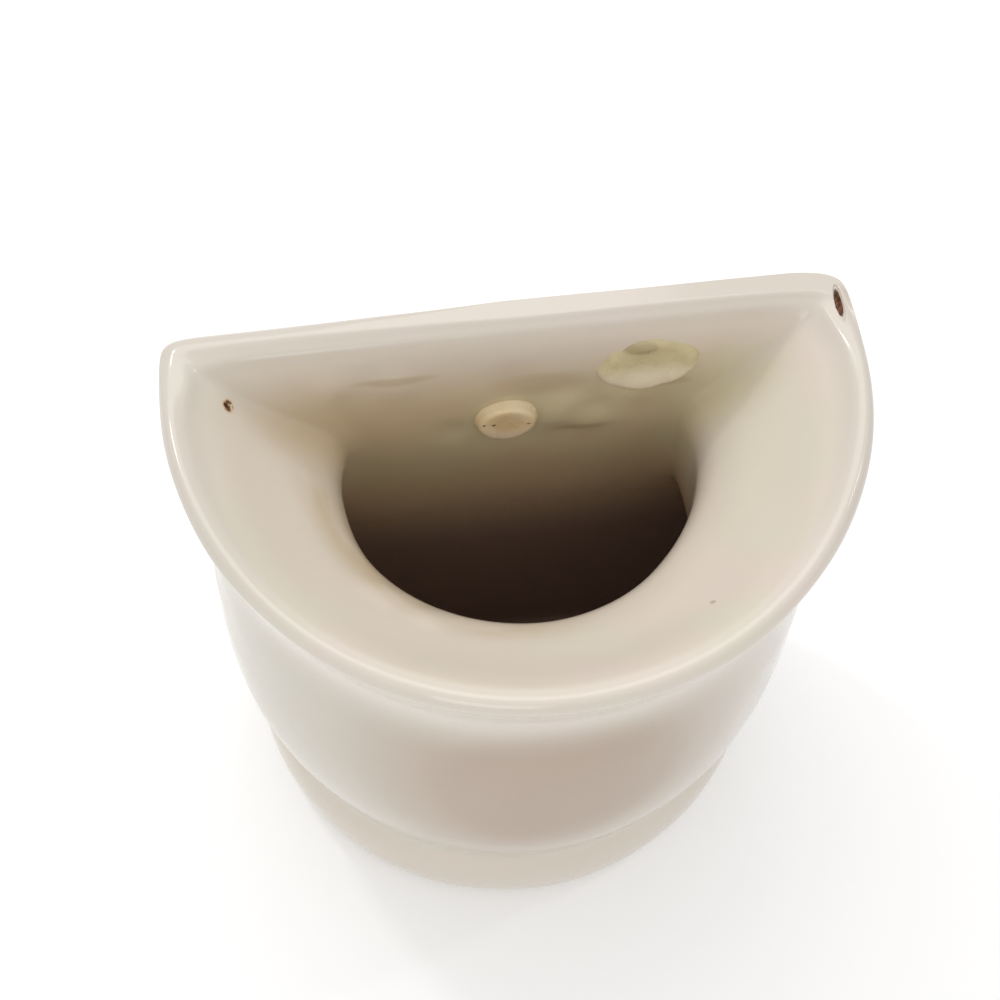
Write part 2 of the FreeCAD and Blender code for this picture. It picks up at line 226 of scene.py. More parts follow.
# %% [markdown]
# ## The hidden chamber
#
# Below the throat the pot is hollow. Its inside is drawn from the lower end of the throat as a potter would
# think of it: up behind the throat, under the lip, down the wall and in at the floor. Each step extrudes the
# U and widens it about the upright axis, the round part both ways and the flanks only sideways.

# %% Draw the chamber
# radius and level of each step
CHAMBER = [(54.0, -39.0), (55.0, -36.5), (55.0, -22.0), (55.0, -8.0), (56.2, -2.2), (60.2, 2.4),
           (65.0, 7.3), (69.3, 10.6), (70.0, 6.0), (71.2, -15.0), (71.9, -40.0), (72.0, -53.0),
           (70.3, -75.0), (66.6, -90.0), (64.6, -97.0), (64.5, -116.0), (60.5, -121.0)]


def pick_u(radius, level):
    pick(lambda x, y, z: abs(z - level) < 0.05
         and abs(math.hypot(x, min(y - AXIS_Y, 0)) - radius) < 0.05 and y < BACK_FACE + 0.1)


def pull_u(start, goal):
    """Extrudes the U from one radius and level to another."""
    ratio = goal[0] / start[0]
    pick_u(*start)
    draw_out(z=goal[1] - start[1])
    widen(x=ratio)
    pick(lambda x, y, z: abs(z - goal[1]) < 0.05 and y < AXIS_Y - 0.01
         and abs(math.hypot(x / ratio, y - AXIS_Y) - start[0]) < 0.05)
    widen(y=ratio)


bpy.ops.object.mode_set(mode="EDIT")
for start, goal in zip([hem, *CHAMBER], CHAMBER):
    pull_u(start, goal)

# %% Close the back, the floor and the base
AT_HEM = 10                                        # the wall's row level with the end of the throat
HALFWAY = 62.0                                     # a column of corners between the throat and the wall


def merge_corners():
    pick(lambda x, y, z: True)
    bpy.ops.mesh.remove_doubles(threshold=0.1 * MM)


pick(lambda x, y, z: abs(z - hem[1]) < 0.05 and abs(y - BACK_FACE) < 0.05 and abs(abs(x) - hem[0]) < 0.05)
for reach, before in ((HALFWAY, hem[0]), (CHAMBER[AT_HEM][0], HALFWAY)):
    draw_out()
    widen(x=reach / before)
merge_corners()
pick(lambda x, y, z: abs(z - hem[1]) < 0.05 and abs(y - BACK_FACE) < 0.05)
for start, goal in zip(CHAMBER[AT_HEM:], CHAMBER[AT_HEM + 1:]):
    draw_out(z=goal[1] - start[1])
    widen(x=goal[0] / start[0])
merge_corners()
pick(lambda x, y, z: True)
bpy.ops.mesh.fill_holes(sides=0)
pick(lambda x, y, z: True)
bpy.ops.mesh.normals_make_consistent(inside=False)
open_edges = sum(len(e.link_faces) != 2 for e in bmesh.from_edit_mesh(vessel.data).edges)
print("edges without two faces:", open_edges)
leave_edit()
count(vessel)

# %% [markdown]
# ## Made by hand
#
# The real pot isn't true. Its lip has slumped forward, the throat is tighter than a compass would draw it
# and leans to one side, and the two back corners are rounded differently. One function says how far each
# corner of the still coarse mesh moves, so that the smoothing that follows spreads every change.

# %% Slump, tighten and round
DROOP = 5.0                                        # how far the lip hangs at the front
TIGHTER_FRONT, TIGHTER_LEFT, TIGHTER_RIGHT = 3.2, 4.6, 1.4    # how far the throat's sides come in
BACK_CORNERS = ((-1, 5.5), (1, 10.0))              # side and radius of the rounded corners
FUNNEL_END_X, FUNNEL_END_Z = 52.3, 4.4             # where the funnel meets the roll
HALF_WIDTH = 82.5


def ease(value, start, end):
    """0 up to start, 1 from end on, and a soft way between."""
    t = min(max((value - start) / (end - start), 0), 1)
    return t * t * (3 - 2 * t)


def hill(value, middle, spread):
    """1 at the middle, fading to 0 over the spread on both sides."""
    return math.exp(-((value - middle) / spread) ** 2)


def round_corner(x, y, side, radius):
    """Step that turns the square back corner on one side into a quarter circle."""
    u, v = side * x - (HALF_WIDTH - radius), y + radius
    if u <= 0 or v <= 0:
        return 0, 0
    share = max(u, v) / math.hypot(u, v) - 1
    return side * u * share, v * share


def corner_reach(z):
    """How far out the hollow reaches at a level: the funnel's slope, the roll and the straight throat."""
    if z > 4:
        return FUNNEL_END_X + (z - FUNNEL_END_Z) * FUNNEL_IN / FUNNEL_DOWN
    if z > ROLL_Z:
        return ROLL_X - math.sqrt(ROLL_ROUND ** 2 - (z - ROLL_Z) ** 2)
    return ROLL_X - ROLL_ROUND


def slump(x, y, z):
    """Step, in millimetres, from the true form to the hand-made one."""
    lip = ease(z, -20, 30)
    dz = -DROOP * ease(-y, 30, 100) * lip
    if y > -5 and z > 30.5:                            # fuller edge along the wall, towards the right
        dz += (37.3 - z) * 0.8 * ease(x, -85, 30)
    if -9.5 < y < -5.5 and z > 33:                     # softer edge inside the back, then round the lip
        dz -= 1.2
    elif z > 34.5 and y < -10:
        dz -= 0.9 * ease(80 - math.hypot(x, min(y - AXIS_Y, 0)), 0, 2)
    reach = math.hypot(x, min(y - AXIS_Y, 0))
    front = ease(-y, 18, 55)
    ring = hill(reach, 49, 15) * hill(z, -6, 24)
    inward = TIGHTER_FRONT * front * ring
    dx = -x / reach * inward if reach > 1 else 0
    dy = -min(y - AXIS_Y, 0) / reach * inward if reach > 1 else 0
    beside = hill(z, -4, 20) * (1 - front)
    dx += (TIGHTER_LEFT * hill(x, -48, 15) - TIGHTER_RIGHT * hill(x, 50, 14)) * beside
    if reach < 78 and y > -22 and z > -45:             # soft nooks where the flanks meet the back
        nook = hill(y, -9, 6) * ease(z, -45, -25)
        share = abs(x) / max(corner_reach(z), 1)
        dx -= math.copysign(2.6, x) * nook * ease(share, 0.90, 1.0)
        dy -= 2.2 * hill(y, -9, 3) * ease(z, -45, -25) * ease(share, 0.84, 1.0)
    turn = ease(z, 4, 26)
    for side, radius in BACK_CORNERS:
        step_x, step_y = round_corner(x, y, side, radius)
        dx += step_x * turn
        dy += step_y * turn
    return dx, dy, dz


bpy.ops.object.mode_set(mode="EDIT")
mesh = bmesh.from_edit_mesh(vessel.data)
for corner in mesh.verts:
    corner.co += Vector(slump(*(corner.co / MM))) * MM
bmesh.update_edit_mesh(vessel.data)
leave_edit()

# %% Smooth the skin
smooth = vessel.modifiers.new("smooth", "SUBSURF")
smooth.levels = smooth.render_levels = 2
finish_modifiers(vessel)
bpy.ops.object.shade_smooth()
count(vessel)

# %% [markdown]
# ## Lumps left by fingers
#
# A lump is made as a sculptor would make it: one corner of the fine mesh is picked and moved, and
# proportional editing takes its neighbours along, less and less with distance.

# %% Press and pull
def knead(place, step, reach):
    """Moves the skin at a place by a step and lets it fade out over a reach, all in millimetres."""
    spot = Vector(place)
    mesh = bmesh.from_edit_mesh(bpy.context.edit_object.data)
    nearest = min(mesh.verts, key=lambda v: (v.co / MM - spot).length_squared)
    for part in (*mesh.faces, *mesh.edges, *mesh.verts):
        part.select_set(False)
    nearest.select_set(True)
    bmesh.update_edit_mesh(bpy.context.edit_object.data)
    bpy.ops.transform.translate(value=Vector(step) * MM, use_proportional_edit=True,
                                proportional_edit_falloff="SMOOTH", proportional_size=reach * MM)


# place, step and reach of each lump
LUMPS = [
    ((13.8, -9.0, 2.0), (0, -1.3, 0), 10),         # beside the pad
    ((12.0, -9.0, -4.0), (0, -1.0, 0.3), 8),       # ridge that runs on from the pad
    ((20.0, -9.0, -5.0), (0, -1.3, 0.3), 8),
    ((28.0, -9.0, -5.0), (0, -0.8, 0.3), 9),
    ((30.0, -9.0, 4.0), (0, -0.8, 0), 9),
    ((-42.0, -9.0, 20.0), (0, -0.6, 0), 8),        # faint swelling on the left of the back
    ((-28.0, -9.0, 18.0), (0, -0.7, 0), 9),
    ((-14.0, -9.0, -4.0), (0, 0.6, 0), 7),
    ((0.0, -9.0, 16.0), (0, 0.5, 0), 10),
    ((45.0, -52.0, -3.0), (-1.2, 1.0, 0.6), 6),    # fold at the right of the throat
    ((47.0, -46.0, -2.0), (1.0, -0.6, -0.6), 5),
    ((-37.0, -58.0, 6.0), (0.3, 0.3, 0.6), 9),     # runs of glaze at the left
    ((-27.0, -66.0, 6.0), (0.2, 0.3, 0.6), 8),
]
bpy.ops.object.mode_set(mode="EDIT")
for place, step, reach in LUMPS:
    knead(place, step, reach)
leave_edit()

# %% Waver the skin
waver_pattern = bpy.data.textures.new("waver", "CLOUDS")
waver_pattern.noise_scale = 0.045
waver_pattern.noise_depth = 1
waver = vessel.modifiers.new("waver", "DISPLACE")
waver.texture = waver_pattern
waver.texture_coords = "LOCAL"
waver.strength = 0.9 * MM
waver.mid_level = 0.55
finish_modifiers(vessel)

# what has grown past the frame is pressed flat, just inside it
SIDE, TOP, WALL_SIDE, BOTTOM = 82.4, 35.95, -0.05, BASE_LEVEL + 0.05
bpy.ops.object.mode_set(mode="EDIT")
for test, place, sizes in [
        (lambda x, y, z: z > TOP, (0, 0, TOP), {"z": 0}),
        (lambda x, y, z: y > WALL_SIDE, (0, WALL_SIDE, 0), {"y": 0}),
        (lambda x, y, z: x > SIDE, (SIDE, 0, 0), {"x": 0}),
        (lambda x, y, z: x < -SIDE, (-SIDE, 0, 0), {"x": 0}),
        (lambda x, y, z: z < BOTTOM, (0, 0, BOTTOM), {"z": 0})]:
    if pick(test):
        widen(**sizes, centre=Vector(place) * MM)
leave_edit()

# %% [markdown]
# ## Hanging hole, chip and pinhole
#
# The hole is cut from the wall side with a Boolean, because it has a sharp edge. A chip and a pinhole are
# pits: the faces round them are subdivided, and the corners inside an oval are pushed in.

# %% Cut the hanging hole
bpy.ops.object.select_all(action="DESELECT")
bpy.ops.mesh.primitive_cone_add(vertices=40, radius1=4.5 * MM, radius2=4.0 * MM, depth=10.5 * MM,
                                rotation=(math.pi / 2, 0, 0), location=(0, -4.25 * MM, 0))
drill = bpy.context.object
hole = vessel.modifiers.new("hole", "BOOLEAN")
hole.object = drill
hole.operation = "DIFFERENCE"
hole.solver = "EXACT"
finish_modifiers(vessel)
bpy.data.objects.remove(drill)

# %% Pit the glaze
PINHOLE = (-68.3, -14.4, 24.8)
# place, radii and step of each pit: the chip in the right corner, and the pinhole
PITS = [((78.4, -9.6, 35.2), (0.8, 3.9, 2.0), (0, 0, -0.4)),
        (PINHOLE, (0.9, 0.9, 1.2), (-0.25, 0.0, -0.2))]


def in_oval(place, radii, scale):
    """A test for pick: is a corner inside an oval?"""
    return lambda x, y, z: sum(((a - b) / (r * scale)) ** 2
                               for a, b, r in zip((x, y, z), place, radii)) < 1


bpy.ops.object.mode_set(mode="EDIT")
for place, radii, step in PITS:
    grown = [r + 2.5 for r in radii]
    pick(in_oval(place, grown, 1.0))
    bpy.ops.mesh.subdivide(number_cuts=3)
    for scale in (1.3, 1.0, 0.7):
        print("pit:", pick(in_oval(place, radii, scale)), "corners")
        push(*step)
leave_edit()
bpy.ops.object.select_all(action="DESELECT")
vessel.select_set(True)
bpy.context.view_layer.objects.active = vessel
bpy.ops.object.shade_smooth_by_angle(angle=math.radians(50))
count(vessel)

# %% [markdown]
# ## Pad and patch
#
# The pad closes the hanging hole inside the pot, and the patch is a thin lump beside it. Both are discs of
# clay pressed on the wall, so each starts as a disc, is drawn out from the wall in steps and is narrowed at
# each step.

# %% Press the pads on
BACK_FACE_IN = BACK_FACE + 1.6                     # the discs start a little inside the clay of the back


def press_pad(name, middle, level, width, tall, steps):
    """Steps are (distance drawn out, share of the size left, step sideways, step up)."""
    bpy.ops.object.select_all(action="DESELECT")
    bpy.ops.mesh.primitive_circle_add(vertices=28, radius=MM, fill_type="NGON", rotation=(math.pi / 2, 0, 0),
                                      location=(middle * MM, BACK_FACE_IN * MM, level * MM))
    pad = start_piece(name)
    pick(lambda x, y, z: True)
    centre = Vector((middle, BACK_FACE_IN, level)) * MM
    widen(x=width / 2, z=tall / 2, centre=centre)
    left, front = 1.0, BACK_FACE_IN
    for out, share, aside, up in steps:
        draw_out(y=-out)
        front -= out
        widen(x=share / left, z=share / left, centre=centre)
        push(aside, 0, up)
        centre = centre + Vector((aside, 0, up)) * MM
        left = share
    pick(lambda x, y, z: True)
    bpy.ops.mesh.normals_make_consistent(inside=False)
    leave_edit()
    rounding = pad.modifiers.new("rounding", "SUBSURF")
    rounding.levels = rounding.render_levels = 3
    finish_modifiers(pad)
    bpy.ops.object.shade_smooth()
    return pad


boss = press_pad("hole_pad", middle=-0.4, level=-0.6, width=17.5, tall=16.5,
                 steps=[(1.8, 0.93, 0, 0), (0.9, 0.87, 0, 0), (1.0, 0.84, 0, 0), (0.6, 0.72, 0, 0.2),
                        (-0.15, 0.55, 0, 0.2), (-0.2, 0.25, 0, 0.1)])
patch = press_pad("wall_dab", middle=34.0, level=17.6, width=27.0, tall=20.0,
                  steps=[(1.7, 0.97, 0, -0.2), (0.8, 0.90, 0, -0.4), (0.4, 0.78, 0, -0.5),
                         (-0.4, 0.60, 0, 0.2), (-0.5, 0.30, 0.5, 0.6)])
for pad in (boss, patch):
    count(pad)
PATCH_LUMPS = [
    ((27.0, -10.6, 24.0), (0, 0.9, 0), 6),
    ((40.0, -10.6, 23.5), (0, 0.8, 0), 7),
    ((33.0, -10.8, 11.5), (0, -0.7, -0.4), 6),
    ((40.0, -10.6, 13.0), (0, -0.6, -0.3), 5),
    ((26.0, -10.6, 14.0), (0, -0.5, -0.2), 5),
    ((22.5, -9.5, 20.0), (1.5, 0, -0.5), 5),
]
bpy.context.view_layer.objects.active = patch
bpy.ops.object.mode_set(mode="EDIT")
for place, step, reach in PATCH_LUMPS:
    knead(place, step, reach)
leave_edit()

# %% [markdown]
# ## The bare underside
#
# The glaze stops short of the table, so the pot doesn't stick to the kiln shelf. The foot of the glazed skin
# is hollowed by a little over a millimetre, and a plate of bare clay sits in it.

# %% Lay the bare base
GLAZE_MARGIN, HOLLOW = 2.5, 1.2
BASE_RADIUS, BASE_LENGTH, BASE_THICK = 64.5, 15.5, 1.4   # the length is from the axis to the straight end
bpy.context.view_layer.objects.active = vessel
bpy.ops.object.select_all(action="DESELECT")
vessel.select_set(True)
bpy.ops.object.mode_set(mode="EDIT")
mesh = bmesh.from_edit_mesh(vessel.data)
pick(lambda x, y, z: False)
for face in mesh.faces:
    middle = face.calc_center_median() / MM
    if face.normal.z < -0.98 and middle.z < BASE_LEVEL + 0.6:
        face.select_set(True)
bmesh.update_edit_mesh(vessel.data)
print("faces of the underside:", sum(face.select for face in mesh.faces))
bpy.ops.mesh.inset(thickness=GLAZE_MARGIN * MM)
push(z=HOLLOW)
leave_edit()

bpy.ops.object.select_all(action="DESELECT")
bpy.ops.mesh.primitive_circle_add(vertices=72, radius=BASE_RADIUS * MM,
                                  location=(0, AXIS_Y * MM, (BASE_LEVEL + 0.35) * MM))
base = start_piece("bare_base")
pick(lambda x, y, z: y > AXIS_Y + 0.5)
bpy.ops.mesh.delete(type="VERT")
pick(lambda x, y, z: y > AXIS_Y - 0.5)
draw_out(y=BASE_LENGTH)
pick(lambda x, y, z: True)
bpy.ops.mesh.edge_face_add()
draw_out(z=BASE_THICK)
pick(lambda x, y, z: True)
bpy.ops.mesh.normals_make_consistent(inside=False)
leave_edit()
soft_rim = base.modifiers.new("soft_rim", "BEVEL")
soft_rim.width = 0.4 * MM
soft_rim.segments = 2
finish_modifiers(base)
bpy.ops.object.shade_smooth_by_angle(angle=math.radians(40))
count(base)

# %% [markdown]
# ## Finishes
#
# A glaze isn't one colour. It is cream where it lies thick and pinker where the clay warms it. The back of
# the hollow is a tan glaze with painted shade over it, darker down into the hollow, and the inside below the
# throat is painted dark, as painted shade. The body under the lip carries painted shade and a painted
# reflection, and the foot painted light. Each of these is a mask made from the place on the pot, in metres,
# broken up with noise.

# %% Tools for mixing finishes
class Finish:
    """A material, with the few node steps that every finish here is mixed from."""

    def __init__(self, name):
        self.material = bpy.data.materials.new(name)
        self.material.use_nodes = True
        self.nodes, self.links = self.material.node_tree.nodes, self.material.node_tree.links
        self.shader = self.nodes["Principled BSDF"]
        self.place = self.nodes.new("ShaderNodeTexCoord").outputs["Object"]
        split = self.nodes.new("ShaderNodeSeparateXYZ")
        self.links.new(self.place, split.inputs[0])
        self.x, self.y, self.z = split.outputs

    def feed(self, value, socket):
        """Wires a node's output to a socket, or writes a plain value on it."""
        if isinstance(value, bpy.types.NodeSocket):
            self.links.new(value, socket)
        else:
            socket.default_value = value

    def maths(self, kind, first, second=0.5):
        """One step of arithmetic on one or two values."""
        node = self.nodes.new("ShaderNodeMath")
        node.operation = kind
        self.feed(first, node.inputs[0])
        self.feed(second, node.inputs[1])
        return node.outputs[0]

    def ramp(self, value, start, end, low=0.0, high=1.0, soft=True):
        """Goes from low at start to high at end."""
        node = self.nodes.new("ShaderNodeMapRange")
        node.interpolation_type = "SMOOTHSTEP" if soft else "LINEAR"
        for entry, number in zip(node.inputs, (value, start, end, low, high)):
            self.feed(number, entry)
        return node.outputs[0]

    def noise(self, scale, detail=3.0, stretch=(1, 1, 1)):
        """Noise over the piece; a larger scale is finer."""
        mapping = self.nodes.new("ShaderNodeMapping")
        self.links.new(self.place, mapping.inputs["Vector"])
        mapping.inputs["Scale"].default_value = stretch
        node = self.nodes.new("ShaderNodeTexNoise")
        self.links.new(mapping.outputs[0], node.inputs["Vector"])
        node.inputs["Scale"].default_value = scale
        node.inputs["Detail"].default_value = detail
        return node.outputs[0]

    def mix(self, share, first, second):
        """The first colour where the share is 0, the second where it is 1."""
        node = self.nodes.new("ShaderNodeMix")
        node.data_type = "RGBA"
        for entry, value in zip((node.inputs[0], node.inputs[6], node.inputs[7]), (share, first, second)):
            self.feed(value, entry)
        return node.outputs[2]

    def spot(self, place, radii, hard=0.6):
        """1 inside an oval about a place in millimetres, fading to 0 at its edge."""
        apart = self.nodes.new("ShaderNodeVectorMath")
        apart.operation = "SUBTRACT"
        self.links.new(self.place, apart.inputs[0])
        apart.inputs[1].default_value = Vector(place) * MM
        scaled = self.nodes.new("ShaderNodeVectorMath")
        scaled.operation = "DIVIDE"
        self.links.new(apart.outputs[0], scaled.inputs[0])
        scaled.inputs[1].default_value = Vector(radii) * MM
        length = self.nodes.new("ShaderNodeVectorMath")
        length.operation = "LENGTH"
        self.links.new(scaled.outputs[0], length.inputs[0])
        return self.ramp(length.outputs["Value"], 1.0, hard)

    def times(self, *shares):
        """Several masks multiplied."""
        product = shares[0]
        for share in shares[1:]:
            product = self.maths("MULTIPLY", product, share)
        return product

    def over(self, shade, tint, strength, *masks):
        """Lays a tint over a shade, with a strength, where all the masks are 1."""
        return self.mix(self.times(*masks, strength), shade, tint)

    def bump(self, heights):
        """Chains bumps from (pattern, height in millimetres) pairs."""
        normal = None
        for pattern, height in heights:
            node = self.nodes.new("ShaderNodeBump")
            node.inputs["Distance"].default_value = height * MM
            self.links.new(pattern, node.inputs["Height"])
            if normal:
                self.links.new(normal, node.inputs["Normal"])
            normal = node.outputs[0]
        self.links.new(normal, self.shader.inputs["Normal"])


def colour(r, g, b):
    return (r, g, b, 1.0)


# %% Cream glaze
glaze = Finish("cream_glaze")
cloud = glaze.ramp(glaze.noise(17), 0.42, 0.62)
shade = glaze.mix(cloud, colour(0.765, 0.695, 0.600), colour(0.780, 0.688, 0.612))
green = glaze.ramp(glaze.noise(23, 2.0), 0.50, 0.66)
shade = glaze.over(shade, colour(0.740, 0.705, 0.585), 0.7, green)

# the body below the lip, painted darker as painted shade under the lip: greyer at the left, warmer at the
# right, with a painted brown reflection at the front
on_body = glaze.ramp(glaze.z, 0.012, -0.012)
left = glaze.ramp(glaze.x, 0.010, -0.060)
# painted shade: each tint below darkens the body under the lip
shade = glaze.over(shade, colour(0.610, 0.575, 0.480), 0.75, on_body, left)
right = glaze.ramp(glaze.x, 0.005, 0.055)
shade = glaze.over(shade, colour(0.670, 0.595, 0.530), 0.75, on_body, right)
shade = glaze.over(shade, colour(0.640, 0.575, 0.480), 0.35, on_body)
# painted reflection: a brown patch on the front of the body, darkest in its middle
front = glaze.spot((-3, -100, -30), (66, 70, 78), 0.30)
shade = glaze.over(shade, colour(0.490, 0.375, 0.285), 0.90, on_body, front)
painted_reflection_core = glaze.spot((1, -100, -28), (36, 40, 40), 0.72)
shade = glaze.over(shade, colour(0.460, 0.350, 0.265), 0.35, on_body, painted_reflection_core)
# painted light: the foot's roll, which faces up, is painted back to a light cream
foot = glaze.ramp(glaze.z, -0.0945, -0.0975)
shade = glaze.over(shade, colour(0.760, 0.680, 0.580), 0.85, foot)
# painted shade: the top of the lip is painted darker, to dim its highlight
rim = glaze.ramp(glaze.z, 0.0290, 0.0345)
shade = glaze.over(shade, colour(0.600, 0.545, 0.485), 0.5, rim)

# inside, in front of the back: nearer to the upright axis than the middle of the clay wall
off_axis = glaze.maths("MINIMUM", glaze.maths("ADD", glaze.y, -AXIS_Y * MM), 0.0)
reach = glaze.maths("SQRT", glaze.maths("ADD", glaze.maths("MULTIPLY", glaze.x, glaze.x),
                                        glaze.maths("MULTIPLY", off_axis, off_axis)))
middle_of_wall = glaze.ramp(glaze.z, -0.095, -0.053, 0.0681, 0.0743, soft=False)
inside = glaze.times(glaze.ramp(glaze.maths("SUBTRACT", middle_of_wall, reach), -0.001, 0.001),
                     glaze.ramp(glaze.y, -0.0045, -0.0065))
near_back = glaze.ramp(glaze.y, -0.026, -0.011)
# painted shade over a tan glaze: the back of the hollow goes tan from its top down
tan = glaze.times(inside, near_back, glaze.ramp(glaze.z, 0.031, 0.004))
tan_cloud = glaze.ramp(glaze.noise(26), 0.44, 0.60)
tan_shade = glaze.mix(tan_cloud, colour(0.66, 0.52, 0.325), colour(0.63, 0.55, 0.34))
shade = glaze.over(shade, tan_shade, 0.9, tan)
# painted shade: browner below the throat, and dark deep in the hollow
lower_painted_shade = glaze.times(inside, glaze.ramp(glaze.z, -0.008, -0.044))
shade = glaze.over(shade, colour(0.57, 0.42, 0.25), 0.85, lower_painted_shade)
deep_painted_shade = glaze.times(inside, glaze.ramp(glaze.z, -0.030, -0.066))
shade = glaze.mix(deep_painted_shade, shade, colour(0.33, 0.225, 0.18))

# where the glaze has run thin, round the throat on the left
throat_edge = glaze.times(glaze.ramp(reach, 0.062, 0.049), glaze.ramp(glaze.z, 0.016, 0.002),
                          glaze.ramp(glaze.x, 0.020, -0.025), glaze.ramp(glaze.y, -0.016, -0.030))
streaks = glaze.ramp(glaze.noise(70, 3.0, (0.5, 0.5, 1.6)), 0.36, 0.60)
streaks = glaze.maths("ADD", glaze.times(streaks, 0.5), 0.25)
shade = glaze.mix(glaze.times(throat_edge, streaks), shade, colour(0.56, 0.44, 0.27))
# place, radii and strength of each smear on the back: painted shade round the pad's edge, under the ridge
# beside it and under the patch, then two dark streaks
SHADE_AND_STREAK_SMEARS = [((-0.4, -9, -0.4), (10.4, 6, 9.8), 0.7), ((20, -9, -7.5), (11, 5, 2.2), 0.55),
               ((37, -9, 8.5), (12, 5, 2.6), 0.5), ((-28, -9, 20.5), (13, 5, 2.2), 0.4),
               ((8, -9, 13), (16, 5, 6), 0.35)]
# place, radii and strength of each painted highlight on the back: the top of the swell beside the pad, and
# the right of the back
PAINTED_LIGHT_SMEARS = [((14, -9, 4.5), (10, 5, 5), 0.6), ((30, -9, -6), (15, 5, 10), 0.5)]
for smears, tint, hard in ((SHADE_AND_STREAK_SMEARS, colour(0.46, 0.33, 0.19), 0.35),
                           (PAINTED_LIGHT_SMEARS, colour(0.76, 0.65, 0.44), 0.2)):
    for place, radii, strength in smears:
        shade = glaze.over(shade, tint, strength, glaze.spot(place, radii, hard))

# pinhole, chip and a dark speck in the funnel
CHIP, SPECK = (78.4, -9.6, 35.4), (35.8, -76.6, 19.7)
halo = glaze.spot(PINHOLE, (3.0, 3.0, 3.0), 0.2)
shade = glaze.over(shade, colour(0.72, 0.50, 0.24), 0.75, halo)
rough_edge = glaze.noise(900, 2.0)
pit = glaze.times(glaze.spot(PINHOLE, (2.1, 2.1, 2.1), 0.7), glaze.ramp(rough_edge, 0.35, 0.5))
shade = glaze.mix(pit, shade, colour(0.16, 0.065, 0.020))
chip = glaze.spot(CHIP, (1.0, 4.1, 3.0), 0.85)
chip_cloud = glaze.ramp(rough_edge, 0.4, 0.6)
chip_shade = glaze.mix(chip_cloud, colour(0.075, 0.040, 0.016), colour(0.26, 0.10, 0.045))
shade = glaze.mix(chip, shade, chip_shade)
speck = glaze.spot(SPECK, (0.9, 0.9, 4.0), 0.3)
shade = glaze.over(shade, colour(0.45, 0.36, 0.24), 0.7, speck)
glaze.feed(shade, glaze.shader.inputs["Base Color"])

raw = glaze.maths("MAXIMUM", glaze.maths("MAXIMUM", pit, chip), glaze.times(deep_painted_shade, 0.7))
sheen = glaze.ramp(glaze.noise(60), 0.3, 0.7, 0.10, 0.19)
glaze.feed(glaze.ramp(raw, 0.0, 1.0, sheen, 0.75, soft=False), glaze.shader.inputs["Roughness"])
glaze.bump([(glaze.noise(95, 2.0), 0.07), (glaze.noise(700, 2.0), 0.008)])

vessel.data.materials.clear()
vessel.data.materials.append(glaze.material)
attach(vessel, "root")
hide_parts("back_slab", "flared_lip", "bowl_wall", "foot_band")

# %% Tan glaze of pad and patch
thin = Finish("tan_glaze")
mottle = thin.ramp(thin.noise(120), 0.40, 0.62)
shade = thin.mix(mottle, colour(0.88, 0.69, 0.42), colour(0.90, 0.75, 0.50))
shade = thin.mix(thin.ramp(thin.z, -0.001, -0.006), shade, colour(0.82, 0.67, 0.50))
crown = thin.times(thin.ramp(thin.y, -0.0108, -0.0116), thin.spot((-0.4, -11.5, 0.4), (5.5, 9, 4.8), 0.4))
shade = thin.over(shade, colour(0.68, 0.48, 0.25), 0.6, crown)
dab = thin.ramp(thin.x, 0.016, 0.020)
# painted light and shade on the patch: its lower lip is painted lighter, its top darker, and a facet at its
# upper left darker still
dab_top_painted_shade = thin.ramp(thin.z, 0.0120, 0.0190)
dab_painted_light_and_shade = thin.mix(dab_top_painted_shade, colour(0.84, 0.76, 0.57), colour(0.66, 0.58, 0.35))
painted_shade_facet = thin.spot((31.5, -10, 24.5), (5.5, 8, 2.8), 0.6)
dab_painted_light_and_shade = thin.over(dab_painted_light_and_shade, colour(0.42, 0.35, 0.20), 0.7, painted_shade_facet)
shade = thin.mix(dab, shade, dab_painted_light_and_shade)
# place and radii of each iron speck on the pad
IRON_SPECKS = [((-6.4, -11.7, 0.6), (0.55, 2, 0.45)), ((-3.9, -11.7, 0.2), (0.75, 2, 0.5)),
               ((4.9, -11.6, -0.4), (0.7, 2, 0.35))]
for place, radii in IRON_SPECKS:
    speck = thin.times(thin.spot(place, radii, 0.4), thin.ramp(thin.noise(1400, 1.0), 0.35, 0.5))
    shade = thin.mix(speck, shade, colour(0.15, 0.06, 0.02))
thin.feed(shade, thin.shader.inputs["Base Color"])
thin.feed(thin.ramp(thin.noise(200), 0.3, 0.7, 0.20, 0.34), thin.shader.inputs["Roughness"])
thin.bump([(thin.noise(180, 2.0), 0.05), (thin.noise(900, 2.0), 0.008)])
for pad, node in ((boss, "hanging_boss"), (patch, "wall_patch")):
    pad.data.materials.append(thin.material)
    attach(pad, "root")
    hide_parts(node)

# %% Bare clay
bare = Finish("bare_clay")
grain = bare.ramp(bare.noise(420, 4.0), 0.40, 0.62)
shade = bare.mix(grain, colour(0.62, 0.50, 0.36), colour(0.70, 0.60, 0.46))
stain = bare.ramp(bare.noise(30), 0.50, 0.68)
shade = bare.over(shade, colour(0.52, 0.40, 0.27), 0.5, stain)
iron = bare.ramp(bare.noise(1500, 1.0), 0.70, 0.76)
shade = bare.over(shade, colour(0.20, 0.11, 0.06), 0.8, iron)
bare.feed(shade, bare.shader.inputs["Base Color"])
bare.feed(bare.ramp(grain, 0.0, 1.0, 0.80, 0.92), bare.shader.inputs["Roughness"])
bare.bump([(bare.noise(420, 4.0), 0.12), (bare.noise(1500, 2.0), 0.04)])
base.data.materials.append(bare.material)
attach(base, "root")
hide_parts("floor_slab")

